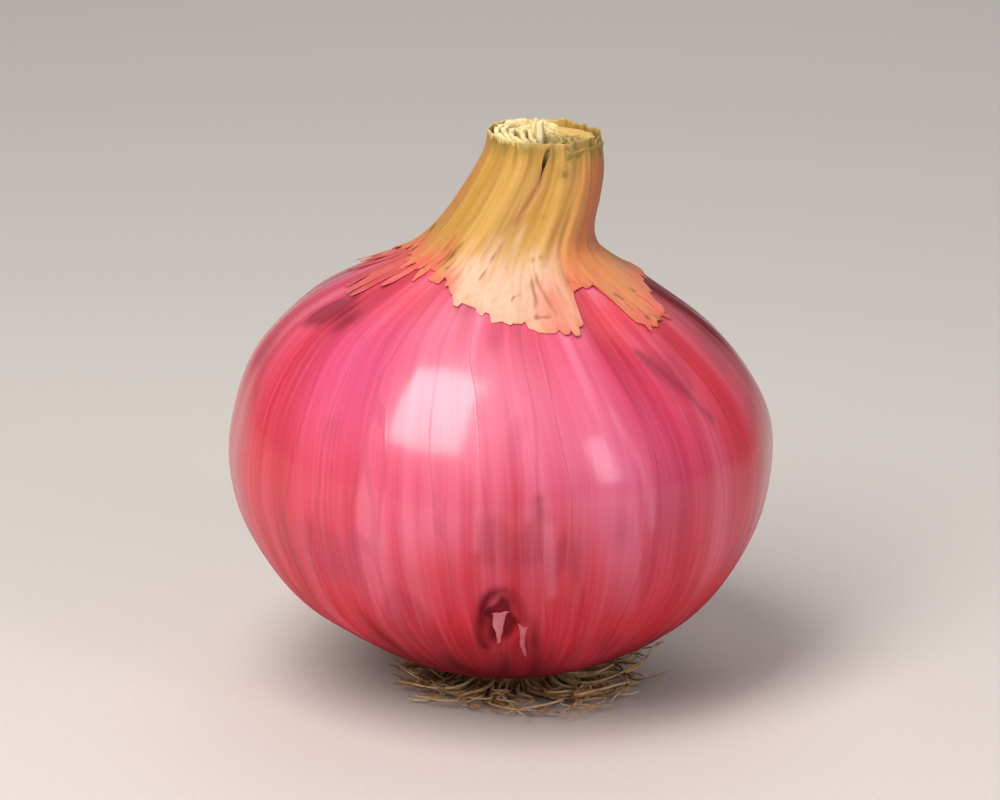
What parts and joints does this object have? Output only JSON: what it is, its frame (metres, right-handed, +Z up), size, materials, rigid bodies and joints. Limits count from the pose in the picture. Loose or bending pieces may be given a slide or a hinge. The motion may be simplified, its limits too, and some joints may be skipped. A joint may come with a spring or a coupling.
{
  "type": "red onion",
  "caption": "Squat round red onion with a straw-coloured dry neck, torn papery skin on its shoulders and a dried root tuft.",
  "frame": {"origin": "centre of the small flat spot under the root plate, which the onion rests on", "axes": "+Z up through the root plate; -Y is the onion's front; the neck leans towards +X"},
  "size_m": [0.0582, 0.0574, 0.0608],
  "materials": {
    "bulb_skin": "satin",
    "dry_skin": "matte",
    "root_tuft": "matte"
  },
  "bodies": {
    "root": {"bulb": "bulb_skin", "dry_skin": "dry_skin", "root_tuft": "root_tuft"}
  },
  "joints": []
}
